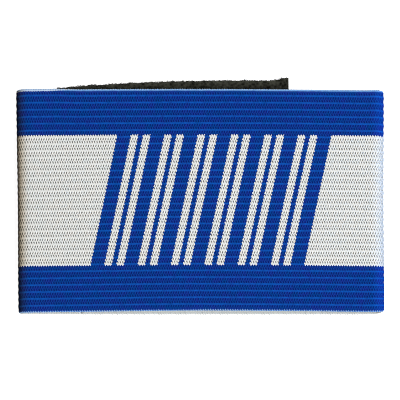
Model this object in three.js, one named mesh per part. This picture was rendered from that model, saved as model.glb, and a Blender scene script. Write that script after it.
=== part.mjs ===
// A captain's armband: a strip of wide ribbed elastic webbing, closed into a loop by hook-and-loop tape and
// laid flat on a surface. The loop keeps a low hollow, open at both selvages, with a round fold at each end.
// Behind the front, the strip's two ends meet edge to edge. A black loop-tape strap is sewn, a little
// askew, inside one end, and a hook-tape patch inside the other end holds it.
//
// Millimetres. +X runs along the flattened loop, +Y across the webbing, +Z up from the surface. The origin
// is the middle of the webbing's underside, on the crest of its middle rib.

import * as THREE from "three";

// The elastic webbing
const BAND_WIDTH = 80; // selvage to selvage
const BAND_THICKNESS = 1.5; // rib crest to inner face
const RIB_PITCH = 2.44; // from one covered rubber cord to the next
const RIB_CREST = 0.72; // flat crest over each cord
const RIB_DEPTH = 0.25; // groove between two cords

// The flattened loop
const LOOP_LENGTH = 134; // outside of one fold to outside of the other, halfway between the selvages
const LOOP_TAPER = 2.4; // how much longer it is at the upper selvage than at the lower one
const FOLD_INNER_RADIUS = 4; // how tightly the webbing turns
const FRONT_RISE = 1.5; // how far the front swells above the folds
const FOLD_NECK = 0.7; // how far each selvage draws in at a fold
const END_SETBACK = 23; // from the outside of the left fold to where the two ends meet
const END_GAP = 0.8; // between the two cut ends

// The hook-and-loop closure
const LAYER_GAP = 0.3; // between layers that lie on each other
const STRAP_LENGTH = 84.5;
const STRAP_WIDTH = 80;
const STRAP_THICKNESS = 1.2;
const STRAP_SEWN = 8; // how far the strap laps over the end that it is sewn to
const STRAP_SHIFT = 2.1; // how far the sewn end sits off centre
const STRAP_SKEW_DEG = 2.2; // how far the strap points off the loop's own line
const STRAP_CROWN = 0.85; // bow of its hand-cut upper edge
const STRAP_FLARE = 0.6; // upturned corner at its free end
const STRAP_TIP = 9; // length of the free end that curls up
const STRAP_CURL = 1.4; // height of that curl
const STRAP_STEP = 5; // length over which the strap climbs onto the patch, or sinks beside it
const PATCH_LENGTH = 32;
const PATCH_THICKNESS = 1;
const PATCH_MARGIN = 2; // from the patch to each selvage
const PATCH_SETBACK = 2; // from the patch to the cut end
const PATCH_CORNER = 3; // radius of the patch's corners

const FOLD_STEPS = 8;
const FRONT_STEPS = 8;
const STEP_STATIONS = 6;

const BAND_BLUE = "#0b3a90";
const TAPE_BLACK = "#26271f";

// Where the main features lie, worked out from the sizes above
const foldRadius = FOLD_INNER_RADIUS + BAND_THICKNESS;
const foldCentreX = LOOP_LENGTH / 2 - foldRadius;
const endX = -LOOP_LENGTH / 2 + END_SETBACK;
const sewnEndX = endX - END_GAP / 2;
const freeEndX = endX + END_GAP / 2;
const strapStartX = sewnEndX - STRAP_SEWN;
const strapEndX = strapStartX + STRAP_LENGTH;
const patchStartX = freeEndX + PATCH_SETBACK;
const patchEndX = patchStartX + PATCH_LENGTH;
const tapeLevel = BAND_THICKNESS + LAYER_GAP;

// The front is one shallow arc that meets both fold arcs smoothly. Its radius follows from the two centres
// lying a front radius less a fold radius apart.
const frontRadius =
  (foldCentreX ** 2 + (foldRadius + FRONT_RISE) ** 2 - foldRadius ** 2) / (2 * FRONT_RISE);
const frontCentreZ = 2 * foldRadius + FRONT_RISE - frontRadius;
const frontHalfAngle = Math.asin(foldCentreX / (frontRadius - foldRadius));

function smooth(t) {
  const c = THREE.MathUtils.clamp(t, 0, 1);
  return c * c * (3 - 2 * c);
}

// The stations that the webbing's outer face passes, from its sewn end, round the left fold, over the front
// and round the right fold to its free end. Each has its place, the direction into the loop, and how far
// the selvages draw in there.
function loopStations() {
  const stations = [];
  const flat = (x) => stations.push({ x, z: 0, inX: 0, inZ: 1, neck: 0 });
  const arc = (centreX, centreZ, radius, from, to, steps, neck) => {
    for (let i = 1; i <= steps; i++) {
      const share = i / steps;
      const angle = THREE.MathUtils.lerp(from, to, share);
      stations.push({
        x: centreX + radius * Math.cos(angle),
        z: centreZ + radius * Math.sin(angle),
        inX: -Math.cos(angle),
        inZ: -Math.sin(angle),
        neck: neck * Math.sin(Math.PI * share) ** 2,
      });
    }
  };
  const up = Math.PI / 2;
  flat(sewnEndX);
  flat(-foldCentreX);
  arc(-foldCentreX, foldRadius, foldRadius, 3 * up, up + frontHalfAngle, FOLD_STEPS, FOLD_NECK);
  arc(0, frontCentreZ, frontRadius, up + frontHalfAngle, up - frontHalfAngle, FRONT_STEPS, 0);
  arc(foldCentreX, foldRadius, foldRadius, up - frontHalfAngle, -up, FOLD_STEPS, FOLD_NECK);
  flat(freeEndX);
  return stations;
}

// The webbing's section: the ribbed face with a flat crest over each cord and a groove between two, thin
// selvages, and the plain inner face. One rib is in the middle, with as many as fit on each side of it.
// x runs across the webbing, y into it.
function webbingSection() {
  const half = BAND_WIDTH / 2;
  const ribsEachSide = Math.floor((half - RIB_CREST / 2) / RIB_PITCH);
  const section = new THREE.Shape();
  section.moveTo(-half, BAND_THICKNESS);
  section.lineTo(-half, RIB_DEPTH);
  for (let i = -ribsEachSide; i <= ribsEachSide; i++) {
    if (i > -ribsEachSide) section.lineTo((i - 0.5) * RIB_PITCH, RIB_DEPTH);
    section.lineTo(i * RIB_PITCH - RIB_CREST / 2, 0);
    section.lineTo(i * RIB_PITCH + RIB_CREST / 2, 0);
  }
  section.lineTo(half, RIB_DEPTH);
  section.lineTo(half, BAND_THICKNESS);
  return section;
}

// Moves every vertex of a geometry to where the given function sends it.
function reshape(geometry, place) {
  const position = geometry.getAttribute("position");
  for (let i = 0; i < position.count; i++) {
    position.setXYZ(i, ...place(position.getX(i), position.getY(i), position.getZ(i)));
  }
  geometry.computeVertexNormals();
  return geometry;
}

// The webbing: its section extruded one unit for each pair of stations, then laid round the loop. The loop
// is a little longer towards the upper selvage, because the askew strap closes it so.
function elasticBand() {
  const stations = loopStations();
  const runs = stations.length - 1;
  const strip = new THREE.ExtrudeGeometry(webbingSection(), {
    depth: runs,
    steps: runs,
    bevelEnabled: false,
  });
  return reshape(strip, (across, inward, along) => {
    const s = stations[Math.round(along)];
    const y = -across * (1 - (2 * s.neck) / BAND_WIDTH);
    const taper = 1 + (LOOP_TAPER / LOOP_LENGTH) * (y / BAND_WIDTH);
    return [(s.x + s.inX * inward) * taper, y, s.z + s.inZ * inward];
  });
}

// Height of the strap's lower face: on the webbing at its sewn end, up over the hook patch, down again
// beyond it, and curling up at the free end.
function strapLevel(x) {
  const climb = smooth((x - (patchStartX - LAYER_GAP - STRAP_STEP)) / STRAP_STEP);
  const sink = smooth((x - (patchEndX + LAYER_GAP)) / STRAP_STEP);
  const curl = Math.max(0, (x - (strapEndX - STRAP_TIP)) / STRAP_TIP) ** 2;
  return tapeLevel + (PATCH_THICKNESS + LAYER_GAP) * (climb - sink) + STRAP_CURL * curl;
}

// The strap's upper and lower edges, seen from above. Both run askew, and the upper one is cut by hand:
// it bows a little and flares at the free corner.
function strapEdge(x, upper) {
  const share = (x - strapStartX) / STRAP_LENGTH;
  const skew = STRAP_SHIFT + (x - strapStartX) * Math.tan(THREE.MathUtils.degToRad(STRAP_SKEW_DEG));
  if (!upper) return skew - STRAP_WIDTH / 2;
  const flare = Math.max(0, (x - (strapEndX - STRAP_TIP)) / STRAP_TIP) ** 2;
  return skew + STRAP_WIDTH / 2 + STRAP_CROWN * 4 * share * (1 - share) + STRAP_FLARE * flare;
}

// Stations along the strap, closer together where its height changes.
function strapStations() {
  const stations = new Set([strapStartX, strapEndX]);
  const spread = (from, to) => {
    for (let i = 0; i <= STEP_STATIONS; i++) {
      const x = THREE.MathUtils.lerp(from, to, i / STEP_STATIONS);
      if (x > strapStartX && x < strapEndX) stations.add(x);
    }
  };
  spread(patchStartX - LAYER_GAP - STRAP_STEP, patchStartX - LAYER_GAP);
  spread(patchStartX, patchEndX);
  spread(patchEndX + LAYER_GAP, patchEndX + LAYER_GAP + STRAP_STEP);
  spread(strapEndX - STRAP_TIP, strapEndX);
  return [...stations].sort((a, b) => a - b);
}

// The strap: its side view extruded one unit, whose two ends then become the upper and the lower edge.
function loopStrap() {
  const stations = strapStations();
  const side = new THREE.Shape();
  side.moveTo(stations[0], strapLevel(stations[0]));
  stations.slice(1).forEach((x) => side.lineTo(x, strapLevel(x)));
  stations.reverse().forEach((x) => side.lineTo(x, strapLevel(x) + STRAP_THICKNESS));
  const strip = new THREE.ExtrudeGeometry(side, { depth: 1, steps: 1, bevelEnabled: false });
  return reshape(strip, (x, z, away) => [x, strapEdge(x, away < 0.5), z]);
}

// The hook patch: a flat rectangle with rounded corners, centred on the webbing.
function hookPatch() {
  const halfWidth = BAND_WIDTH / 2 - PATCH_MARGIN;
  const r = PATCH_CORNER;
  const outline = new THREE.Shape();
  outline.absarc(patchEndX - r, halfWidth - r, r, 0, Math.PI / 2);
  outline.absarc(patchStartX + r, halfWidth - r, r, Math.PI / 2, Math.PI);
  outline.absarc(patchStartX + r, -halfWidth + r, r, Math.PI, 1.5 * Math.PI);
  outline.absarc(patchEndX - r, -halfWidth + r, r, 1.5 * Math.PI, 2 * Math.PI);
  const plate = new THREE.ExtrudeGeometry(outline, {
    depth: PATCH_THICKNESS,
    bevelEnabled: false,
    curveSegments: 4,
  });
  return plate.translate(0, 0, tapeLevel);
}

function piece(name, geometry, color, roughness) {
  const mesh = new THREE.Mesh(
    geometry,
    new THREE.MeshStandardMaterial({ color, roughness, metalness: 0 }),
  );
  mesh.name = name;
  return mesh;
}

const armband = new THREE.Group();
armband.add(piece("elastic_band", elasticBand(), BAND_BLUE, 0.8));
armband.add(piece("loop_strap", loopStrap(), TAPE_BLACK, 0.95));
armband.add(piece("hook_patch", hookPatch(), TAPE_BLACK, 0.7));

export default armband;
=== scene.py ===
# %% [markdown]
# # A captain's armband, laid flat
#
# The armband is one strip of wide ribbed elastic, printed blue on white and bent into a flattened loop. A
# black strap of loop tape is sewn inside one end of the strip and grips a patch of hook tape inside the
# other. The cloth's sizes are in millimetres, and one number turns them into Blender's metres. The floor,
# the lights and the camera are placed in metres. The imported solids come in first, because the webbing, the
# strap and the patch each take the place of one of them.

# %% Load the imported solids
import math

import bpy
import numpy as np
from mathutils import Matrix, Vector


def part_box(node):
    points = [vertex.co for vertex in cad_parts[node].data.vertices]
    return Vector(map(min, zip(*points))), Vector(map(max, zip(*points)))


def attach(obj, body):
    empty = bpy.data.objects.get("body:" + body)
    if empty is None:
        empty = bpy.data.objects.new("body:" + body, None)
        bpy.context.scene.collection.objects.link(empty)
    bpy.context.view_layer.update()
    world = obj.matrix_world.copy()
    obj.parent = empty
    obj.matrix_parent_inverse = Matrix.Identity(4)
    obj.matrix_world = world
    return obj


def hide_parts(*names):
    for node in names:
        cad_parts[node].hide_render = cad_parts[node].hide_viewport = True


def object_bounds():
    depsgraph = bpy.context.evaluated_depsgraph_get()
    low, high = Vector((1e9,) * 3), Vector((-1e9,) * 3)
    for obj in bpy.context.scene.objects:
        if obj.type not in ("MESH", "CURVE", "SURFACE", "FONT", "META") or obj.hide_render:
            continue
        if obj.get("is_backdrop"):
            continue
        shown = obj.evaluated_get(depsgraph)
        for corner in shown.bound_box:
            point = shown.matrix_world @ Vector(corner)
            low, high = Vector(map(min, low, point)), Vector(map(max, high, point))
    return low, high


MM = 0.001
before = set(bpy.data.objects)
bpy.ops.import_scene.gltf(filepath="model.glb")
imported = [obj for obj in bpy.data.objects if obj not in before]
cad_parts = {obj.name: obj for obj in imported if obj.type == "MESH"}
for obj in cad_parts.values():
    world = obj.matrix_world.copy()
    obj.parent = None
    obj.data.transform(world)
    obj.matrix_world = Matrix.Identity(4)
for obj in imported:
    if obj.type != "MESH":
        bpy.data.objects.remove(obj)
cad_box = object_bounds()
for node in ("elastic_band", "loop_strap", "hook_patch"):
    low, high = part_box(node)
    print(node, "measures", [round((b - a) / MM, 1) for a, b in zip(low, high)], "mm")

# %% [markdown]
# ## From arrays to meshes
#
# Cloth is a surface that two numbers can describe, one along it and one across. Such a surface could be
# shaped by hand in Edit Mode, but a formula gives the same result at any resolution, and numpy works out all
# its points at once. So each piece here is a grid of points. Two helpers do the rest: one joins the grid's
# points with four-cornered faces, and one puts points, faces and the cloth's own millimetre map into a mesh.
# The volume that is printed is a check: it is positive only if the faces of a closed mesh point outwards.


# %% Grid faces and the mesh maker
def ring_faces(rows, columns):
    """Faces of a closed skin: quads between neighbouring rows of rings, and one cap on each end ring."""
    start = np.arange(rows - 1)[:, None] * columns
    here = np.arange(columns)
    there = np.roll(here, -1)
    quads = np.stack([start + here, start + columns + here, start + columns + there, start + there], axis=-1)
    caps = [list(range(columns)), list(range(rows * columns))[: -columns - 1 : -1]]
    return quads.reshape(-1, 4).tolist() + caps


def enclosed_volume(points, faces):
    """Sum of the signed tetrahedra between the origin and each face, fanned into triangles."""
    total = 0.0
    for count in set(map(len, faces)):
        corners = points[np.array([face for face in faces if len(face) == count])]
        fan = np.cross(corners[:, 1:-1], corners[:, 2:])
        total += np.einsum("ik,ijk->", corners[:, 0], fan) / 6
    return total


def make_piece(name, points, faces, materials, cloth_map=None):
    """Turns points in millimetres and lists of corner numbers into a smooth mesh that rides on the part."""
    points = points.reshape(-1, 3)
    mesh = bpy.data.meshes.new(name)
    mesh.from_pydata((points * MM).tolist(), [], faces)
    mesh.shade_smooth()
    for material in materials:
        mesh.materials.append(material)
    if cloth_map is not None:
        corner = np.empty(len(mesh.loops), dtype=np.int32)
        mesh.loops.foreach_get("vertex_index", corner)
        layer = mesh.uv_layers.new(name="cloth_mm")
        layer.data.foreach_set("uv", cloth_map.reshape(-1, 2)[corner].astype(np.float32).ravel())
    piece = bpy.data.objects.new(name, mesh)
    bpy.context.collection.objects.link(piece)
    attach(piece, "root")
    triangles = sum(len(face) - 2 for face in faces)
    print(f"{name}: {triangles} triangles, {enclosed_volume(points, faces):.0f} cubic mm inside")
    return piece


# %% [markdown]
# Threads, loops and hooks are thin tubes. Blender's curve objects can draw a tube, but hundreds of separate
# curves are slow, so all the threads of one kind share a mesh. Each is a path with small rings round it.


# %% Many tubes in one mesh
def tubes(paths, radius, sides):
    """Rings of `sides` points at `radius` round every point of every path, square to the path there.

    `paths` has the shape (threads, points, 3). The ring's two axes are the cross products of the path's
    direction with a fixed slanting line, and of the direction with that. Cosine and sine of an angle that
    grows downwards carry the ring round, so that its faces point outwards.
    """
    along = np.gradient(paths, axis=1)
    along /= np.linalg.norm(along, axis=-1, keepdims=True)
    first = np.cross(along, np.array([0.31, 0.17, 0.93]))
    first /= np.linalg.norm(first, axis=-1, keepdims=True)
    second = np.cross(along, first)
    angle = -np.arange(sides) * 2 * np.pi / sides
    offset = first[..., None, :] * np.cos(angle)[:, None] + second[..., None, :] * np.sin(angle)[:, None]
    points = paths[..., None, :] + radius * offset
    threads, length = paths.shape[:2]
    one = ring_faces(length, sides)
    quads = np.array(one[:-2])
    caps = np.array(one[-2:])
    shift = (np.arange(threads) * length * sides)[:, None, None]
    faces = (quads + shift).reshape(-1, 4).tolist() + (caps + shift).reshape(-1, sides).tolist()
    return points.reshape(-1, 3), faces


def wander(t, wavelengths, seed):
    """A smooth line that strays between about -1 and 1: the mean of sines with seeded random phases."""
    phases = np.random.default_rng(seed).uniform(0, 2 * np.pi, len(wavelengths))
    waves = [np.sin(2 * np.pi * t / length + phase) for length, phase in zip(wavelengths, phases)]
    return np.sum(waves, axis=0) / math.sqrt(len(wavelengths))


# %% [markdown]
# ## Colours and nodes
#
# Colours are written as sRGB hex values, as a colour picker shows them, while shaders want linear light. One
# function converts them. A material is a small network of nodes, and one function adds any node, with its
# settings and its links, so that a pattern reads as a few lines of arithmetic.


# %% Colour and node helpers
def linear(code):
    """sRGB hex to linear RGBA: divide by 12.92 near black, otherwise the 2.4 power of (c + 0.055) / 1.055."""
    channels = [int(code[i : i + 2], 16) / 255 for i in (1, 3, 5)]
    return tuple(c / 12.92 if c <= 0.04045 else ((c + 0.055) / 1.055) ** 2.4 for c in channels) + (1.0,)


def add(tree, kind, inputs=(), output=0, **settings):
    """Adds a node. `inputs` gives its sockets in order, or by name, each a value or a socket to link from."""
    node = tree.nodes.new("ShaderNode" + kind)
    for key, value in settings.items():
        setattr(node, key, value)
    for key, value in inputs.items() if isinstance(inputs, dict) else enumerate(inputs):
        if isinstance(value, bpy.types.NodeSocket):
            tree.links.new(value, node.inputs[key])
        else:
            node.inputs[key].default_value = value
    return node.outputs[output]


def new_material(name, roughness, specular, sheen):
    """A material with its own shader, whose even values are set on the shader's sockets."""
    material = bpy.data.materials.new(name)
    material.use_nodes = True
    shader = material.node_tree.nodes["Principled BSDF"]
    shader.inputs["Roughness"].default_value = roughness
    shader.inputs["Specular IOR Level"].default_value = specular
    shader.inputs["Sheen Weight"].default_value = sheen
    shader.inputs["Sheen Roughness"].default_value = 0.4
    return material, material.node_tree, shader


# %% [markdown]
# ## The knit
#
# The webbing is warp-knitted: white polyester yarn is looped over rubber cords that run round the arm. Each
# cord makes a rib. Between two ribs lie two rows of small leaning holes, the upper row like a slash and the
# lower row like a backslash, half a stitch apart. An image could show this, but a formula stays sharp at any
# size. It reads the piece's own millimetre map, folds it into one rib and one stitch, and measures how far a
# point is from the nearest hole's middle. The holes get painted shade in the yarn's colour, and they press
# into the relief. Between the holes of a row the yarn bulges in strands, which get a painted highlight,
# brighter on some than on others.

# %% The knit's sizes and its pattern
RIB_PITCH = 2.43
STITCH_PITCH = 0.894
HOLE_ROW = 0.5  # from the middle of a groove to a row of holes
HOLE_HALF_WIDTH = 0.21
HOLE_HALF_HEIGHT = 0.43
HOLE_LEAN = 0.22
KNIT_SHIFT = 0.25  # how far the middle between its two edges lies towards the lower selvage
HOLES_STOP = (38.9, 39.2)  # from that middle: all holes before the first, none past the second
SELVAGE = (39.35, 39.95)  # from that middle: where the selvage starts, and where it is full


def knit(tree):
    """Sockets for the map's two lengths, and for crests, strand highlights, holes and selvages.

    Each of the last four is 0 where there is none and about 1 at its middle, and noise varies the first
    three. A hole is a leaning ellipse that fades over its rim, and the holes stop about 1 mm before the
    edges. The crest is a band over each cord. A strand highlight marks where a painted highlight goes on the
    yarn that bulges between two holes of a row: it grows with the distance from both, and reaches from its
    row to the crest. The selvage is about the last half millimetre at each edge.
    """
    cloth = add(tree, "UVMap", uv_map="cloth_mm")
    uneven = add(tree, "TexNoise", {"Vector": cloth, "Scale": 0.8, "Detail": 2.0}, 1)
    centred = add(tree, "VectorMath", [uneven, (0.5, 0.5, 0.5)], operation="SUBTRACT")
    strayed = add(tree, "VectorMath", {0: centred, 3: 0.2}, operation="SCALE")
    place = add(tree, "VectorMath", [cloth, strayed], operation="ADD")
    u = add(tree, "SeparateXYZ", [place])
    v = add(tree, "SeparateXYZ", [place], 1)
    groove = add(tree, "Math", [v, RIB_PITCH / 2, -RIB_PITCH / 2], operation="WRAP")
    side = add(tree, "Math", [groove], operation="SIGN")
    away = add(tree, "Math", [groove], operation="ABSOLUTE")
    up = add(tree, "Math", [away, HOLE_ROW], operation="SUBTRACT")
    half_stitch = add(tree, "Math", [side, STITCH_PITCH / 4, u], operation="MULTIPLY_ADD")
    upright = add(tree, "Math", [up, -HOLE_LEAN, half_stitch], operation="MULTIPLY_ADD")
    along = add(tree, "Math", [upright, STITCH_PITCH / 2, -STITCH_PITCH / 2], operation="WRAP")
    wide = add(tree, "Math", [along, HOLE_HALF_WIDTH], operation="DIVIDE")
    wide = add(tree, "Math", [wide, wide], operation="MULTIPLY")
    high = add(tree, "Math", [up, HOLE_HALF_HEIGHT], operation="DIVIDE")
    high = add(tree, "Math", [high, high], operation="MULTIPLY")
    reach = add(tree, "Math", [wide, high], operation="ADD")
    hole = add(tree, "MapRange", [reach, 1.7, 0.2, 0.0, 1.0], interpolation_type="SMOOTHSTEP")
    tight = add(tree, "TexNoise", {"Vector": cloth, "Scale": 1.3, "Detail": 1.0})
    tight = add(tree, "MapRange", [tight, 0.3, 0.7, 0.7, 1.05])
    hole = add(tree, "Math", [hole, tight], operation="MULTIPLY")
    shifted = add(tree, "Math", [v, KNIT_SHIFT])
    off = add(tree, "Math", [shifted], operation="ABSOLUTE")
    edge = add(tree, "MapRange", [off, *SELVAGE, 0.0, 1.0], interpolation_type="SMOOTHSTEP")
    plain = add(tree, "MapRange", [off, *HOLES_STOP, 1.0, 0.0])
    hole = add(tree, "Math", [hole, plain], operation="MULTIPLY")
    # Where the yarn bulges between the holes: the mask for the strands' painted highlight
    between = add(tree, "MapRange", [wide, 1.3, 4.0, 0.0, 1.0], interpolation_type="SMOOTHSTEP")
    in_row = add(tree, "MapRange", [high, 0.5, 3.0, 1.0, 0.0])
    strand_highlight = add(tree, "Math", [between, in_row], operation="MULTIPLY")
    lit = add(tree, "TexNoise", {"Vector": cloth, "Scale": 1.1, "Detail": 2.0})
    lit = add(tree, "MapRange", [lit, 0.3, 0.7, 0.35, 1.15])
    strand_highlight = add(tree, "Math", [strand_highlight, lit], operation="MULTIPLY")
    crest = add(tree, "MapRange", [away, 0.72, 1.15, 0.0, 1.0], interpolation_type="SMOOTHSTEP")
    worn = add(tree, "TexNoise", {"Vector": cloth, "Scale": 0.7, "Detail": 4.0, "Roughness": 0.7})
    worn = add(tree, "MapRange", [worn, 0.3, 0.7, 0.3, 1.3])
    crest = add(tree, "Math", [crest, worn], operation="MULTIPLY")
    return u, v, crest, strand_highlight, hole, edge


def yarn_colour(tree, masks, codes):
    """A field blotched in two tones, with one more colour laid over it wherever each mask is 1."""
    cloth = add(tree, "UVMap", uv_map="cloth_mm")
    blotch = add(tree, "TexNoise", {"Vector": cloth, "Scale": 0.3, "Detail": 3.0})
    blotch = add(tree, "MapRange", [blotch, 0.35, 0.65, 0.0, 1.0])
    colour = add(tree, "Mix", {0: blotch, 6: linear(codes[0]), 7: linear(codes[1])}, 2, data_type="RGBA")
    for mask, code in zip(masks, codes[2:]):
        colour = add(tree, "Mix", {0: mask, 6: colour, 7: linear(code)}, 2, data_type="RGBA")
    return colour


def knit_relief(tree, shader, hole, crest):
    """Bump from the pattern: crests stand out, holes go in, and fine filaments roughen the yarn."""
    cloth = add(tree, "UVMap", uv_map="cloth_mm")
    fibre = add(tree, "TexNoise", {"Vector": cloth, "Scale": 6.0})
    height = add(tree, "Math", [crest, 0.35, fibre], operation="MULTIPLY_ADD")
    height = add(tree, "Math", [hole, -1.4, height], operation="MULTIPLY_ADD")
    normal = add(tree, "Bump", {"Strength": 0.6, "Distance": 0.00016, "Height": height})
    tree.links.new(normal, shader.inputs["Normal"])


# %% [markdown]
# ## Bare and printed elastic
#
# The yarn is bright white polyester, a little glossy because its filaments are smooth. It is bare inside the
# loop. Outside, a blue is screen-printed on it: a stripe along each selvage, and a block of slanting bars
# between them on the front. The ink sinks into the grooves and lies thin on the crests, so crests are
# lighter, and a painted highlight on them adds to that. It also follows the loops of yarn, so its edges are
# finely toothed. The bars come from the same map, with one repeat of a broad bar and a narrow bar. The folds
# get painted light and shade: the right one is stretched, with shallower holes, and its ink is painted
# lighter and its yarn a little darker and cooler; the left one gets a painted brownish shade that yellows the
# yarn and greys the ink.

# %% Bare elastic
# Two tones of the field, then the crest's painted highlight, the strands' painted highlight, the painted
# shade in the holes, and a greyer tone along the selvage
YARN_COLOURS = ("#dddcd9", "#d6dcdd", "#dadddc", "#f8faf9", "#5a5b54", "#c5c9c9")
BARE_SELVAGE = (38.2, 38.8)  # from the middle: where the bare side's selvage starts, and where it is full

bare_elastic, tree, shader = new_material("bare_knitted_polyester_elastic", 0.7, 0.05, 0.0)
u, v, crest, strand_highlight, hole, edge = knit(tree)
# The bare side's selvage starts further in, so that the rims under the loop are grey all over
off = add(tree, "Math", [v], operation="ABSOLUTE")
edge = add(tree, "MapRange", [off, *BARE_SELVAGE, 0.0, 1.0])
tree.links.new(yarn_colour(tree, (crest, strand_highlight, hole, edge), YARN_COLOURS), shader.inputs["Base Color"])
knit_relief(tree, shader, hole, crest)
print(bare_elastic.name, "has", len(tree.nodes), "nodes")

# %% Printed elastic
# Two tones of the field, then the crest's lighter ink with a painted highlight, the strands' painted
# highlight, the painted shade in the holes, and the pale ink of the selvage
INK_COLOURS = ("#003882", "#152987", "#0a52b0", "#0b469e", "#021a66", "#76aeee")
STAINED_RIM = "#b8cdea"  # the unprinted edge above the upper stripe, stained by the ink
RIGHT_FOLD_INK_LIGHT = "#001446"  # painted light, added to the ink at the right fold
RIGHT_FOLD_YARN_SHADE = "#eff1f4"  # painted shade, a little cool, that multiplies the yarn there
LEFT_FOLD_SHADE_TINT = "#ffedd4"  # painted brownish shade that multiplies yarn and ink at the left fold
LEFT_FOLD_SHADE_GREY = "#6b6455"  # painted grey shade, mixed a little into the ink there
STRETCH_AND_LIGHT_FROM = (62.0, 66.0)  # from the front's middle: where the stretch and the right fold's painted light and shade start, and where they are full
LEFT_FOLD = 69.1  # from the front's middle to about the middle of the left fold
LEFT_SHADE_TO = (6.5, 3.8)  # from the left fold's middle: no painted shade past the first, full within the second
STRIPE_UPPER = 23.75  # inner edge of the upper stripe, from the webbing's middle
STRIPE_LOWER = -23.5
UNPRINTED_EDGE = 0.12  # pale selvage outside the upper stripe, and what it grows to at the left end
UNPRINTED_END = 0.85
BARS_START = -35.1
BARS_LENGTH = 77.5
BAR_BROAD = 5.06
BAR_NARROW = 1.81
BAR_GAP = 2.6
BAR_SLANT_DEG = 12
BAR_REPEAT = BAR_BROAD + BAR_NARROW + 2 * BAR_GAP

printed_elastic, tree, shader = new_material("screen_printed_knitted_elastic", 0.7, 0.05, 0.0)
u, v, crest, strand_highlight, hole, edge = knit(tree)
wave = add(tree, "Math", [u, 2 * math.pi / STITCH_PITCH], operation="MULTIPLY")
teeth = add(tree, "Math", [wave], operation="SINE")
toothed_v = add(tree, "Math", [teeth, 0.2, v], operation="MULTIPLY_ADD")
wave = add(tree, "Math", [v, 4 * math.pi / RIB_PITCH], operation="MULTIPLY")
steps = add(tree, "Math", [wave], operation="SINE")
toothed_u = add(tree, "Math", [steps, 0.16, u], operation="MULTIPLY_ADD")
upper = add(tree, "Math", [toothed_v, STRIPE_UPPER], operation="GREATER_THAN")
lower = add(tree, "Math", [toothed_v, STRIPE_LOWER], operation="LESS_THAN")
slant = -math.tan(math.radians(BAR_SLANT_DEG))
slanted = add(tree, "Math", [toothed_v, slant, toothed_u], operation="MULTIPLY_ADD")
into = add(tree, "Math", [slanted, BARS_START], operation="SUBTRACT")
block = add(tree, "Math", [into, BARS_LENGTH / 2, BARS_LENGTH / 2], operation="COMPARE")
turn = add(tree, "Math", [into, BAR_REPEAT, 0.0], operation="WRAP")
broad = add(tree, "Math", [turn, BAR_BROAD / 2, BAR_BROAD / 2], operation="COMPARE")
narrow_middle = BAR_BROAD + BAR_GAP + BAR_NARROW / 2
narrow = add(tree, "Math", [turn, narrow_middle, BAR_NARROW / 2], operation="COMPARE")
bar = add(tree, "Math", [broad, narrow], operation="MAXIMUM")
bar = add(tree, "Math", [bar, block], operation="MULTIPLY")
ink = add(tree, "Math", [upper, lower], operation="MAXIMUM")
ink = add(tree, "Math", [ink, bar], operation="MAXIMUM")
# The upper stripe stops short of the selvage, by more towards the left end
print_top = add(tree, "MapRange", [u, -45.0, -54.0, 40 - UNPRINTED_EDGE, 40 - UNPRINTED_END])
edge_v = add(tree, "Math", [teeth, 0.07, v], operation="MULTIPLY_ADD")
rim = add(tree, "Math", [edge_v, print_top], operation="GREATER_THAN")
# At the right fold: shallower holes from the stretch, painted light on the ink and painted shade on the yarn
stretch_and_light = add(tree, "MapRange", [u, *STRETCH_AND_LIGHT_FROM, 0.0, 1.0])
shallow = add(tree, "Math", [stretch_and_light, -0.5, 1.0], operation="MULTIPLY_ADD")
hole = add(tree, "Math", [hole, shallow], operation="MULTIPLY")
yarn = yarn_colour(tree, (crest, strand_highlight, hole, edge), YARN_COLOURS)
yarn_shading = {0: stretch_and_light, 6: yarn, 7: linear(RIGHT_FOLD_YARN_SHADE)}
yarn = add(tree, "Mix", yarn_shading, 2, data_type="RGBA", blend_type="MULTIPLY")
dye = yarn_colour(tree, (crest, strand_highlight, hole, edge), INK_COLOURS)
ink_lighting = {0: stretch_and_light, 6: dye, 7: linear(RIGHT_FOLD_INK_LIGHT)}
dye = add(tree, "Mix", ink_lighting, 2, data_type="RGBA", blend_type="ADD")
# At the left fold: a painted brownish shade, greying the ink and yellowing yarn and ink
past_fold = add(tree, "Math", [u, LEFT_FOLD])
from_fold = add(tree, "Math", [past_fold], operation="ABSOLUTE")
left_fold_shade = add(tree, "MapRange", [from_fold, *LEFT_SHADE_TO, 0.0, 1.0])
shade_greyed = add(tree, "Math", [left_fold_shade, 0.08], operation="MULTIPLY")
dye = add(tree, "Mix", {0: shade_greyed, 6: dye, 7: linear(LEFT_FOLD_SHADE_GREY)}, 2, data_type="RGBA")
colour = add(tree, "Mix", {0: ink, 6: yarn, 7: dye}, 2, data_type="RGBA")
colour = add(tree, "Mix", {0: rim, 6: colour, 7: linear(STAINED_RIM)}, 2, data_type="RGBA")
shade_tinted = {0: left_fold_shade, 6: colour, 7: linear(LEFT_FOLD_SHADE_TINT)}
colour = add(tree, "Mix", shade_tinted, 2, data_type="RGBA", blend_type="MULTIPLY")
tree.links.new(colour, shader.inputs["Base Color"])
matt = add(tree, "Math", [ink, 0.25, 0.65], operation="MULTIPLY_ADD")
tree.links.new(matt, shader.inputs["Roughness"])
knit_relief(tree, shader, hole, crest)
print(printed_elastic.name, "has", len(tree.nodes), "nodes")

# %% [markdown]
# ## The elastic webbing
#
# The flattened loop is a line of five stretches, seen from its open side: flat under the left end, round the
# left fold, over the front in one shallow arc, round the right fold, and flat under the rest. Its section
# is a closed ring: ribs outside, a rounded selvage, shallow ribs inside, and the other selvage. Carrying the
# ring along the line gives the webbing. A modifier that bends a flat plate would stretch it, and this
# doesn't. Each fold turns tightest above and below a steeper side. The map keeps true millimetres along the
# middle of the cloth's thickness, so the stitches spread on the outside of a fold. The webbing draws in a
# little at the folds, and the seams press it thinner.

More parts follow.
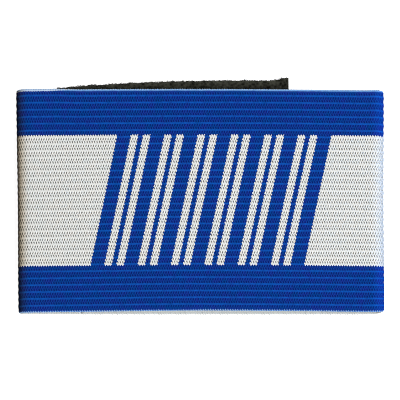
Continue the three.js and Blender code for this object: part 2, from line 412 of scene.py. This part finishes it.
# %% The line that the webbing follows
BAND_WIDTH = 80
BAND_THICKNESS = 1.5
RIM_RADIUS = 0.6  # of the rounded selvage
RIM_LEVEL = 0.86  # from the outer face's line in to the selvage's middle
RIB_DEPTH = 0.14
LOOP_LENGTH = 133.3
LOOP_TAPER = 1.5  # how much longer the loop is at the upper selvage than at the lower one
LOOP_LEAN = 0.5  # how far the upper selvage lies to the left of the lower one
LOOP_WAIST = 0.16  # how far each fold draws in, halfway between the selvages
FRONT_RISE = 1.5  # how far the front swells above the folds
FRONT_BOW = 0.2  # how far the front's middle bows towards the upper selvage
FOLD_NECK = 0.25  # how far each selvage draws in at a fold
FOLD_RADIUS = 4 + BAND_THICKNESS
SEWN_END = -44.03
FREE_END = -43.97
FOLD_BOX = 0.45  # 0 would turn the fold evenly; 1 would turn it only above and below an upright side

centre_x = LOOP_LENGTH / 2 - FOLD_RADIUS
front_radius = (centre_x**2 + (FOLD_RADIUS + FRONT_RISE) ** 2 - FOLD_RADIUS**2) / (2 * FRONT_RISE)
front_angle = math.asin(centre_x / (front_radius - FOLD_RADIUS))
front_half = front_radius * front_angle


def fold_turn(share):
    """Turn of the face at a share of the fold: even growth less a sine with two waves to the fold."""
    eased = share - FOLD_BOX * np.sin(4 * np.pi * share) / (4 * np.pi)
    return front_angle + (np.pi - front_angle) * eased


fold_drop = FOLD_RADIUS * (1 + math.cos(front_angle))
fold_length = fold_drop / np.sin(fold_turn(np.linspace(0.0005, 0.9995, 1000))).mean()
flat_from = front_half + fold_length


def turn_at(a):
    """Angle between the face and straight up at length a: a over the radius on the front, then the fold's."""
    share = ((a - front_half) / fold_length).clip(0, 1)
    return np.where(a < front_half, a / front_radius, fold_turn(share))


line_a = np.linspace(0, flat_from, 5001)
line_turn = turn_at((line_a[1:] + line_a[:-1]) / 2)
line_x = np.append(0, np.cumsum(np.cos(line_turn))) * line_a[1]
line_z = np.append(np.cumsum(np.sin(line_turn)[::-1])[::-1], 0) * line_a[1]
fold_x = line_x[-1]


def loop_line(s):
    """Place and turn of the outer face at length s from the front's middle, negative to the left.

    Place is the sum of short steps, each as long as its part of the line and in the direction of its turn.
    """
    a = np.abs(s)
    side = np.where(s < 0, -1.0, 1.0)
    x = side * (np.interp(a, line_a, line_x) - (a - flat_from).clip(0))
    middle = np.cos(np.pi / 2 * (a / front_half).clip(0, 1)) ** 2
    neck = FOLD_NECK * np.sin(np.pi * ((a - front_half) / fold_length).clip(0, 1)) ** 6
    return x, np.interp(a, line_a, line_z), side * turn_at(a), neck, FRONT_BOW * middle


def lay(s, across, depth):
    """Points of the webbing: from the outer face's line, `depth` inwards and `across` towards a selvage.

    The askew strap closes the loop so that it is a little longer at the upper selvage, and leans a little.
    Halfway between the selvages the folds draw in, by the square of a cosine across the webbing.
    """
    x, z, turn, neck, bow = loop_line(s)
    y = across * (1 - 2 * neck / BAND_WIDTH) + bow
    waist = 2 * LOOP_WAIST / LOOP_LENGTH * np.cos(np.pi * y / BAND_WIDTH) ** 2
    taper = 1 + LOOP_TAPER / LOOP_LENGTH * y / BAND_WIDTH - waist
    x = (x - np.sin(turn) * depth) * taper - LOOP_LEAN * y / BAND_WIDTH
    return np.stack(np.broadcast_arrays(x, y, z - np.cos(turn) * depth), axis=-1)


print(f"front {2 * front_half:.1f} mm, each fold {fold_length:.1f} mm, widest at {line_x.max():.2f} mm")

# %% The seams that press into it
PATCH_START = -41.6
PATCH_END = PATCH_START + 32
LAP_SEAMS = (-50.9, -46.1)
PATCH_SEAMS = (PATCH_START + 1.5, PATCH_END - 1.5)
SEAM_Y = 36.4
SEAM_DEPTH = 0.36
FURROW = 0.55  # from a seam's line to where its furrow is about a third as deep
left_seams = [-(flat_from + fold_x + x) for x in LAP_SEAMS]
right_seams = [flat_from + fold_x - x for x in PATCH_SEAMS]


def seam_press(s, across):
    """Depth of the furrows along the seams: a bell curve of the distance to each seam line."""
    press = 0.0
    for line in left_seams:
        press = np.maximum(press, np.exp(-(((s - line) / FURROW) ** 2)) + 0 * across)
    for line in right_seams:
        press = np.maximum(press, np.exp(-(((s - line) / FURROW) ** 2)) * (np.abs(across) < SEAM_Y + 0.6))
    beside = (s > min(right_seams)) & (s < max(right_seams))
    return np.maximum(press, beside * np.exp(-(((np.abs(across) - SEAM_Y) / FURROW) ** 2)))


def selvage_stray(s, side):
    """How far a selvage strays from straight: both lie a little wide on the front, most at the left end."""
    upper_at = (-80, -68, -52, -44, 0, 40, 60, 70, 80)
    upper = np.interp(s, upper_at, (0, 1.2, 1.2, 0.9, 0.75, 0.75, 0.75, 1.1, 0))
    lower_at = (-80, -68, -52, 0, 40, 60, 66, 70, 80)
    lower = np.interp(s, lower_at, (0, -0.5, -0.35, -0.05, -0.1, -0.25, -0.1, 0.3, -0.16))
    return np.where(side > 0, upper, lower)


# %% The webbing itself
def webbing():
    """The section's ring at every station: cosine ribs on both faces, and half an ellipse at each selvage."""
    half = BAND_WIDTH / 2 - RIM_RADIUS
    ribs = 33
    outer = np.linspace(-half, half, ribs * 6 + 1)
    inner = np.linspace(half, -half, ribs * 3 + 1)
    rim = np.radians([-66, -33, 0, 33, 66])
    rim_depth = RIM_LEVEL + RIM_RADIUS * np.sin(rim)
    rim_across = half + RIM_RADIUS * np.cos(rim)
    across = np.concatenate([outer, rim_across, inner, -rim_across])
    rib = np.cos(np.pi * across / RIB_PITCH) ** 2
    depth = np.concatenate([0 * outer, rim_depth, 0 * inner + BAND_THICKNESS, rim_depth[::-1]])
    outside = np.concatenate([outer * 0 + 1, rim * 0, inner * 0, rim * 0])
    within = np.concatenate([outer * 0, rim * 0, inner * 0 + 1, rim * 0])
    cord = np.random.default_rng(4).uniform(0, 0.03, ribs + 3)[np.floor(across / RIB_PITCH).astype(int) + 17]
    depth = depth + outside * (RIB_DEPTH * rib + cord) - within * (0.1 * rib + cord)

    left_end = -(flat_from + fold_x + SEWN_END)
    right_end = flat_from + fold_x - FREE_END
    stations = [np.linspace(left_end, right_end, 236)]
    stations += [side * np.linspace(front_half - 3, flat_from + 1, 26) for side in (-1, 1)]
    stations += [line + np.linspace(-1.2, 1.2, 7) for line in left_seams + right_seams]
    s = np.unique(np.concatenate(stations).clip(left_end, right_end).round(2))[:, None]

    on_front = np.cos(np.pi / 2 * (np.abs(s) / front_half).clip(0, 1)) ** 2
    swell = 0.12 * on_front * wander(s + 0.35 * across, (61, 37, 23), 11)
    press = SEAM_DEPTH * seam_press(s, across)
    depth = depth + swell + press * outside - 0.3 * press * within
    share = np.abs(across) / (BAND_WIDTH / 2)
    points = lay(s, across + selvage_stray(s, np.sign(across)) * share**3, depth)
    # The map's length runs along the middle of the cloth, which is shorter than the outer face's line
    along_middle = s - BAND_THICKNESS / 2 * np.sign(s) * turn_at(np.abs(s))
    cloth_map = np.stack(np.broadcast_arrays(along_middle, across), axis=-1)
    # The inner face is bare, and so are the rims under the loop, whose pale edge shows beside the front
    under = np.abs(s[:-1]) > front_half + 0.5 * fold_length
    bare_face = (within > 0) | (under & (outside == 0))
    bare_face = np.concatenate([bare_face.ravel(), [True, True]])
    return points, ring_faces(len(s), len(across)), cloth_map, bare_face


points, faces, cloth_map, bare_face = webbing()
elastic = make_piece("elastic_webbing", points, faces, [printed_elastic, bare_elastic], cloth_map)
elastic.data.polygons.foreach_set("material_index", bare_face.astype(np.int32))
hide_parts("elastic_band")

# %% [markdown]
# ## The selvages
#
# Along both edges the knitting yarn turns back once in each stitch and shows as a row of tiny loops. They
# are too fine to see one by one, but they break up the outline and leave a pale line beside the blue. One
# thread wound round the edge, a turn for each stitch, is the same shape and is simple to work out.

# %% Yarn wound along each selvage
PRINTED_YARN = "#8aadd8"
BARE_YARN = "#b4babd"
BARE_FROM = 74.0  # from the front's middle: past it, low on the folds and under the loop, the yarn is bare

edge_yarn, tree, shader = new_material("half_printed_polyester_yarn", 0.6, 0.2, 0.0)
place = add(tree, "UVMap", uv_map="cloth_mm")
depth = add(tree, "SeparateXYZ", [place], 1)
fleck = add(tree, "TexNoise", {"Vector": place, "Scale": 0.9, "Detail": 2.0})
bare = add(tree, "Math", [fleck, -0.8, depth], operation="MULTIPLY_ADD")
bare = add(tree, "MapRange", [bare, 0.0, 0.5, 0.0, 1.0])
along = add(tree, "Math", [add(tree, "SeparateXYZ", [place])], operation="ABSOLUTE")
under = add(tree, "Math", [along, BARE_FROM], operation="GREATER_THAN")
bare = add(tree, "Math", [bare, under], operation="MAXIMUM")
colour = add(tree, "Mix", {0: bare, 6: linear(PRINTED_YARN), 7: linear(BARE_YARN)}, 2, data_type="RGBA")
tree.links.new(colour, shader.inputs["Base Color"])


def selvage_yarn(side):
    """A coil of one turn per stitch round the selvage, flattened to the webbing's thickness."""
    left_end = -(flat_from + fold_x + SEWN_END) + 0.3
    right_end = flat_from + fold_x - FREE_END - 0.3
    s = np.arange(left_end, right_end, STITCH_PITCH / 9)
    turn = 2 * np.pi * s / STITCH_PITCH
    size = 1 + 0.12 * wander(s, (3.1, 1.9, 7.7), 21 + side)
    across = side * (BAND_WIDTH / 2 - 0.35 + 0.3 * size * np.cos(turn)) + selvage_stray(s, side)
    depth = RIM_LEVEL + 0.56 * size * np.sin(turn)
    points, faces = tubes(lay(s, across, depth)[None], 0.16, 5)
    cloth_map = np.repeat(np.stack([s, depth], axis=-1), 5, axis=0)
    return points, faces, cloth_map


for side, name in ((1, "upper_selvage_yarn"), (-1, "lower_selvage_yarn")):
    points, faces, cloth_map = selvage_yarn(side)
    yarn_piece = make_piece(name, points, faces, [edge_yarn], cloth_map)

# %% [markdown]
# ## The loop strap
#
# The strap is black nylon loop tape. Its smooth knitted back faces the front of the armband, and its pile
# faces the hooks. It is cut by hand, so its edges wave and fray, and it is sewn on a little askew: its upper
# edge stands out past the webbing. It climbs over the hook patch, drops beyond it, and its free end curls
# up. Its section is carried along its length as the webbing's was.

# %% Loop tape
loop_tape, tree, shader = new_material("brushed_nylon_loop_tape", 0.85, 0.1, 0.05)
place = add(tree, "TexCoord", output=3)
tuft = add(tree, "TexVoronoi", {"Vector": place, "Scale": 1100.0})
cloud = add(tree, "TexNoise", {"Vector": place, "Scale": 420.0, "Detail": 3.0})
mottle = add(tree, "Math", [tuft, 0.5, cloud], operation="MULTIPLY_ADD")
mottle = add(tree, "MapRange", [mottle, 0.5, 1.0, 0.0, 1.0])
colour = add(tree, "Mix", {0: mottle, 6: linear("#0a0a06"), 7: linear("#41423a")}, 2, data_type="RGBA")
tree.links.new(colour, shader.inputs["Base Color"])
normal = add(tree, "Bump", {"Strength": 0.7, "Distance": 0.0002, "Height": mottle})
tree.links.new(normal, shader.inputs["Normal"])

# %% The strap
STRAP_START = -52.4
STRAP_LENGTH = 84.5
STRAP_END = STRAP_START + STRAP_LENGTH
STRAP_WIDTH = 80
STRAP_THICKNESS = 1.2
STRAP_SHIFT = 2.1  # how far the sewn end sits off centre
STRAP_SKEW_DEG = 2.2  # how far the strap points off the loop's own line
STRAP_CROWN = 0.85  # bow of its hand-cut upper edge
STRAP_FLARE = 0.6  # upturned corner at its free end
STRAP_TIP = 9  # length of the free end that curls up
STRAP_CURL = 1.4  # height of that curl
STRAP_STEP = 5  # length over which the strap climbs onto the patch, or sinks beside it
LAYER_GAP = 0.3  # between layers that lie on each other
PATCH_THICKNESS = 1.0
TAPE_LEVEL = BAND_THICKNESS + LAYER_GAP


def smooth(t):
    """0 before 0, 1 after 1, and an S-shaped curve, 3 t squared less 2 t cubed, between."""
    c = np.clip(t, 0, 1)
    return c * c * (3 - 2 * c)


def strap_level(x):
    """Height of the strap's lower face: level, up an S-curve, level, down an S-curve, curling at the tip."""
    climb = smooth((x - (PATCH_START - LAYER_GAP - STRAP_STEP)) / STRAP_STEP)
    sink = smooth((x - (PATCH_END + LAYER_GAP)) / STRAP_STEP)
    curl = ((x - (STRAP_END - STRAP_TIP)) / STRAP_TIP).clip(0) ** 2
    return TAPE_LEVEL + (PATCH_THICKNESS + LAYER_GAP) * (climb - sink) + STRAP_CURL * curl


def strap_middle(x):
    """How far the strap's middle line lies off the loop's: its shift, and the tangent of its skew times x."""
    return STRAP_SHIFT + (x - STRAP_START) * math.tan(math.radians(STRAP_SKEW_DEG))


def strap_half(x):
    """Half width towards the hand-cut upper edge: a bow, a flare at the free corner, and a wavering cut."""
    share = (x - STRAP_START) / STRAP_LENGTH
    bow = STRAP_CROWN * 4 * share * (1 - share)
    flare = STRAP_FLARE * ((x - (STRAP_END - STRAP_TIP)) / STRAP_TIP).clip(0) ** 2
    cut_at = (-52, -43, -36, -25, -14, 0, 14, 25, 30, 32)
    cut = np.interp(x, cut_at, (0.2, 0.2, 0.1, 0.1, 0.05, 0.1, -0.05, -0.3, 0.1, 0))
    return STRAP_WIDTH / 2 + bow + flare + cut + 0.12 * wander(x, (7, 3.7, 1.9), 31)


def strap():
    """Top face, rounded upper edge, underside and rounded lower edge as a ring, at each station along x."""
    x = np.linspace(STRAP_START, STRAP_END, 190)[:, None]
    flat = np.linspace(-1, 1, 60)
    rim = np.radians([60, 20, -20, -60])
    share = np.concatenate([flat, rim * 0 + 1, flat[::-1], rim * 0 - 1])
    bulge = np.concatenate([flat * 0, np.cos(rim), flat * 0, -np.cos(rim)]) * STRAP_THICKNESS / 3
    height = np.concatenate([flat * 0 + 1, 0.5 + np.sin(rim) / 2, flat * 0, 0.5 - np.sin(rim) / 2])
    y = strap_middle(x) + np.where(share > 0, share * strap_half(x), share * STRAP_WIDTH / 2) + bulge
    uneven = 0.05 * wander(x + 0.6 * y, (9, 5, 3.1), 33)
    z = strap_level(x) + STRAP_THICKNESS * height + uneven * height
    return np.stack(np.broadcast_arrays(x, y, z), axis=-1)


points = strap()
strap_piece = make_piece("loop_tape_strap", points, ring_faces(*points.shape[:2]), [loop_tape])
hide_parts("loop_strap")

# %% [markdown]
# Nylon loop tape never has a clean edge. Its pile and cut filaments stand out all round as short springy
# loops, a few tenths of a millimetre long. Particle hair could grow them, but half circles of thin tube at
# seeded places are lighter and come out the same each time.


# %% Frayed loops along the strap's edges
def frayed_loops():
    """Half ellipses of thread that leave the tape's edge and return to it, each turned by a seeded angle."""
    rng = np.random.default_rng(35)
    x = rng.uniform(STRAP_START, STRAP_END, 620)
    upper = rng.uniform(size=x.size) < 0.7
    edge = strap_middle(x) + np.where(upper, strap_half(x), -STRAP_WIDTH / 2)
    outward = np.where(upper, 1.0, -1.0)
    level = strap_level(x) + rng.uniform(0.2, STRAP_THICKNESS - 0.1, x.size)
    width = rng.uniform(0.15, 0.5, x.size)
    length = rng.uniform(0.25, 0.75, x.size)
    tilt = rng.uniform(-0.7, 0.9, x.size)
    spin = rng.uniform(-1, 1, x.size)
    t = np.linspace(0, np.pi, 8)
    aside = width[:, None] * np.cos(t)
    out = length[:, None] * np.sin(t)
    px = x[:, None] + aside * np.cos(spin)[:, None]
    py = edge[:, None] + outward[:, None] * (out * np.cos(tilt)[:, None] + 0.1)
    pz = level[:, None] + out * np.sin(tilt)[:, None] * 0.6 + aside * np.sin(spin)[:, None]
    return np.stack([px, py, pz], axis=-1)


points, faces = tubes(frayed_loops(), 0.045, 4)
fray = make_piece("strap_edge_loops", points, faces, [loop_tape])

# %% [markdown]
# ## The hook patch
#
# Hook tape is a thin woven ground with rows of stiff nylon hooks. They are monofilament, so they shine a
# little more than the pile. Only a low view into the loop shows them. Each is a stem that bends over.

# %% Hook tape
hook_nylon, tree, shader = new_material("nylon_monofilament_hook", 0.4, 0.5, 0.0)
place = add(tree, "TexCoord", output=3)
fleck = add(tree, "TexNoise", {"Vector": place, "Scale": 700.0, "Detail": 2.0})
colour = add(tree, "Mix", {0: fleck, 6: linear("#0d0d0c"), 7: linear("#24241f")}, 2, data_type="RGBA")
tree.links.new(colour, shader.inputs["Base Color"])

HOOK_GROUND = 0.35  # thickness of the woven ground
HOOK_HEIGHT = 0.68
HOOK_REACH = 0.28
HOOK_TURN = 2.2  # radians
HOOK_SPACING = 1.15  # along x
HOOK_ROW_SPACING = 1.25
PATCH_HALF = BAND_WIDTH / 2 - 2
PATCH_CORNER = 3


def patch_ground():
    """A rounded rectangle at four heights, the lowest and highest drawn in a little as a soft rim."""
    turn = np.linspace(0, np.pi / 2, 7)
    quarter = np.repeat(np.arange(4), turn.size)
    angle = np.tile(turn, 4) + quarter * np.pi / 2
    middle_x = np.where((quarter == 0) | (quarter == 3), PATCH_END - PATCH_CORNER, PATCH_START + PATCH_CORNER)
    middle_y = np.where(quarter < 2, 1, -1) * (PATCH_HALF - PATCH_CORNER)
    level = np.array([HOOK_GROUND, 0.25, 0.1, 0])[:, None]
    reach = PATCH_CORNER - np.array([0.1, 0, 0, 0.1])[:, None]
    x = middle_x + reach * np.cos(angle)
    y = middle_y + reach * np.sin(angle)
    return np.stack(np.broadcast_arrays(x, y, TAPE_LEVEL + level), axis=-1)


def hooks():
    """Rows of stems with their tips bent over: up by a turn's sine, forward by one less its cosine."""
    rng = np.random.default_rng(41)
    columns = np.arange(PATCH_START + 2.6, PATCH_END - 2, HOOK_SPACING)
    x, y = np.meshgrid(columns, np.arange(-34.8, 35, HOOK_ROW_SPACING))
    x = x.ravel() + rng.uniform(-0.08, 0.08, x.size)
    y = y.ravel() + rng.uniform(-0.1, 0.1, x.size)
    lean = rng.uniform(0.9, 1.1, x.size) * np.where(np.round(x / HOOK_SPACING) % 2 > 0, 1, -1)
    turn = HOOK_TURN * np.linspace(0, 1, 6)
    up = HOOK_GROUND - 0.1 + HOOK_HEIGHT * np.sin(turn)
    forward = HOOK_REACH * (1 - np.cos(turn))
    px = x[:, None] + 0 * turn
    py = y[:, None] + lean[:, None] * forward
    pz = TAPE_LEVEL + up + 0 * px
    return np.stack([px, py, pz], axis=-1)


points = patch_ground()
patch = make_piece("hook_tape_patch", points, ring_faces(*points.shape[:2]), [hook_nylon])
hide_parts("hook_patch")
points, faces = tubes(hooks(), 0.09, 4)
hook_rows = make_piece("hook_rows", points, faces, [hook_nylon])

# %% [markdown]
# ## The seams
#
# Two rows of lockstitch hold the strap to the webbing, and a rectangle of it holds the hook patch. A
# lockstitch is a row of short threads that dip into the cloth at each end, so each is a small bowed tube.
# Underneath they lie in the furrows that the seams press, so nothing stands below the webbing.

# %% Lockstitch
thread_blue, tree, shader = new_material("spun_polyester_sewing_thread", 0.55, 0.4, 0.1)
place = add(tree, "TexCoord", output=3)
ply = add(tree, "TexWave", {"Vector": place, "Scale": 900.0, "Distortion": 1.5}, bands_direction="DIAGONAL")
colour = add(tree, "Mix", {0: ply, 6: linear("#0b2e6e"), 7: linear("#1c4f9c")}, 2, data_type="RGBA")
tree.links.new(colour, shader.inputs["Base Color"])

STITCH_LENGTH = 2.5


def stitches(start, end, level, into):
    """Threads from start to end, each bowed by a sine and dipping into the cloth at both ends."""
    start, end = np.array(start, float), np.array(end, float)
    length = np.linalg.norm(end - start)
    count = int(round(length / STITCH_LENGTH))
    t = np.linspace(0.07, 0.93, 7)
    share = (np.arange(count)[:, None] + t) / count
    flat = start + share[..., None] * (end - start)
    bow = level + into * 0.3 * (1 - np.sin(np.pi * np.linspace(0, 1, 7)) ** 0.5)
    return np.concatenate([flat, (bow + 0 * share)[..., None]], axis=-1)


def all_seams():
    """The two lap seams above and below, and the patch's rectangle above and below."""
    left, right = PATCH_SEAMS
    square = [(left, -SEAM_Y), (right, -SEAM_Y), (right, SEAM_Y), (left, SEAM_Y), (left, -SEAM_Y)]
    lines = [((x, -38.4), (x, 38.4), 0.16, 1) for x in LAP_SEAMS]
    lines += [((x, -37), (x, 41), TAPE_LEVEL + STRAP_THICKNESS + 0.02, -1) for x in LAP_SEAMS[:1]]
    lines += [(a, b, 0.16, 1) for a, b in zip(square, square[1:])]
    lines += [(a, b, TAPE_LEVEL + HOOK_GROUND + 0.05, -1) for a, b in zip(square, square[1:])]
    return np.concatenate([stitches(*line) for line in lines])


points, faces = tubes(all_seams(), 0.14, 6)
seam_piece = make_piece("lockstitch_seams", points, faces, [thread_blue])

# %% [markdown]
# ## Floor, light and camera
#
# The armband lies on a plain white floor. A large soft light high on the right is the key: it leaves the
# left fold dark. A cool one low on the right tints the fold there, and two low ones shine into the hollow
# from its open sides. The floor is left out of the light that bounces, so that it does not wash out the
# dark fold. The camera looks down, tipped a little towards the lower selvage, through a long lens from
# well back. A narrow pixel filter, and guides for the denoiser that are not smoothed first, keep the
# stitches sharp.

# %% Floor
floor_white, tree, shader = new_material("matte_white_card", 0.9, 0.1, 0.0)
shader.inputs["Base Color"].default_value = linear("#f4f5f6")
shader.inputs["Emission Color"].default_value = (1.0, 1.0, 1.0, 1.0)
shader.inputs["Emission Strength"].default_value = 0.95
size = 6.0
mesh = bpy.data.meshes.new("floor")
mesh.from_pydata([(-size, -size, 0), (size, -size, 0), (size, size, 0), (-size, size, 0)], [], [(0, 1, 2, 3)])
mesh.materials.append(floor_white)
floor = bpy.data.objects.new("floor", mesh)
bpy.context.collection.objects.link(floor)
floor.visible_diffuse = False
floor.visible_glossy = False
floor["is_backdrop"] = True

# %% Lights
world = bpy.data.worlds.new("studio")
world.use_nodes = True
world.node_tree.nodes["Background"].inputs[0].default_value = linear("#fff4e6")
world.node_tree.nodes["Background"].inputs[1].default_value = 0.03
bpy.context.scene.world = world


def area_light(name, place, side, watts, code):
    """A square light at `place`, in metres, facing the middle of the armband."""
    lamp = bpy.data.lights.new(name, "AREA")
    lamp.size = side
    lamp.energy = watts
    lamp.color = linear(code)[:3]
    light = bpy.data.objects.new(name, lamp)
    bpy.context.collection.objects.link(light)
    light.location = place
    away = light.location.normalized()
    light.rotation_euler = away.to_track_quat("Z", "Y").to_euler()
    print(name, watts, "W")


area_light("key", (4.5, -2.4, 10.0), 3.6, 1390, "#fffefc")
area_light("cool_side", (2.6, -0.2, 0.12), 0.8, 42, "#50a8ff")
area_light("low_front", (0.2, -1.5, 0.16), 0.5, 14, "#fff6ec")
area_light("low_back", (0.2, 1.5, 0.16), 0.5, 12, "#fff6ec")

# %% Camera
DISTANCE = 1.6
FRAME_WIDTH = 0.1446
ELEVATION = math.radians(82.5)
TARGET = (-0.00024, 0.00023, 0.0125)

lens = bpy.data.cameras.new("camera")
lens.sensor_width = 36
lens.lens = 36 * DISTANCE / FRAME_WIDTH
lens.clip_end = 100
camera = bpy.data.objects.new("camera", lens)
bpy.context.collection.objects.link(camera)
camera.location = (
    TARGET[0],
    TARGET[1] - DISTANCE * math.cos(ELEVATION),
    TARGET[2] + DISTANCE * math.sin(ELEVATION),
)
camera.rotation_euler = (math.pi / 2 - ELEVATION, 0, 0)
bpy.context.scene.camera = camera
bpy.context.scene.view_settings.view_transform = "Standard"
bpy.context.scene.cycles.filter_width = 1.0
bpy.context.scene.cycles.denoising_prefilter = "NONE"
print(f"lens {lens.lens:.0f} mm from {DISTANCE} m")

# %% [markdown]
# ## Sizes at the end
#
# The cloth stands for the solids. The two boxes are printed side by side, so that they can be compared.

# %% Print the sizes
boxes = {"cad_m": cad_box, "visual_m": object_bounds()}
boxes = {name: [[round(float(c), 6) for c in corner] for corner in box] for name, box in boxes.items()}
print(boxes)
